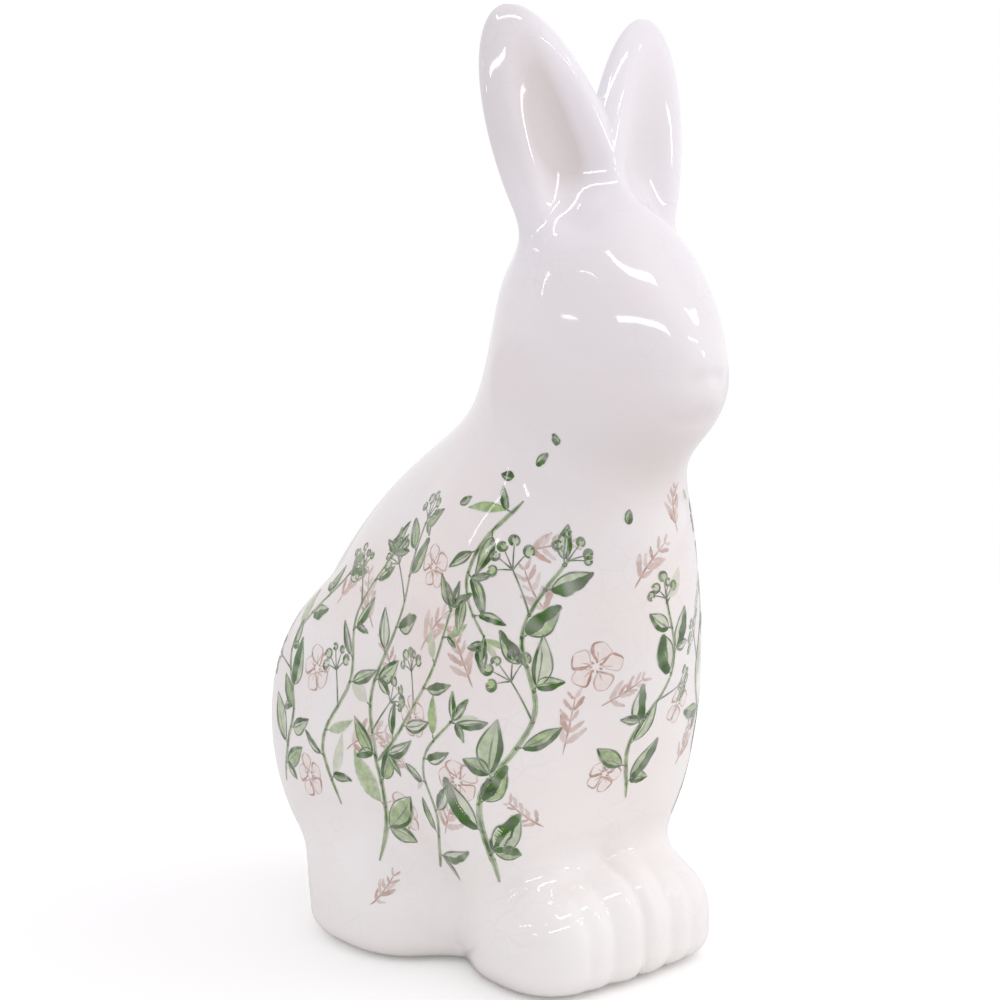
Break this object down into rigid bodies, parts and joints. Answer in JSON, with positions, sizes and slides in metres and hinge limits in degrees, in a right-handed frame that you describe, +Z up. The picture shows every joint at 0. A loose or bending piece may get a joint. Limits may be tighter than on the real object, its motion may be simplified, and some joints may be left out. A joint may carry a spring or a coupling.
{
  "type": "ceramic rabbit figurine",
  "caption": "Upright sitting rabbit ornament: hollow glazed earthenware casting with luted leaf-shaped ears, round tail, closing disc and felt pads; stands free on a shelf.",
  "frame": {"origin": "centre of the bounding box on the plane that the felt pads rest on", "axes": "+Z up, the rabbit looks along -Y, and +X is the rabbit's own left"},
  "size_m": [0.106, 0.1724, 0.2796],
  "materials": {
    "glazed_earthenware": "gloss",
    "bare_earthenware": "matte",
    "felt": "matte"
  },
  "bodies": {
    "root": {"body_casting": "glazed_earthenware", "left_ear": "glazed_earthenware", "right_ear": "glazed_earthenware", "tail": "glazed_earthenware", "closing_disc": "bare_earthenware", "felt_pad_front_left": "felt", "felt_pad_front_right": "felt", "felt_pad_rear_left": "felt", "felt_pad_rear_right": "felt"}
  },
  "joints": []
}
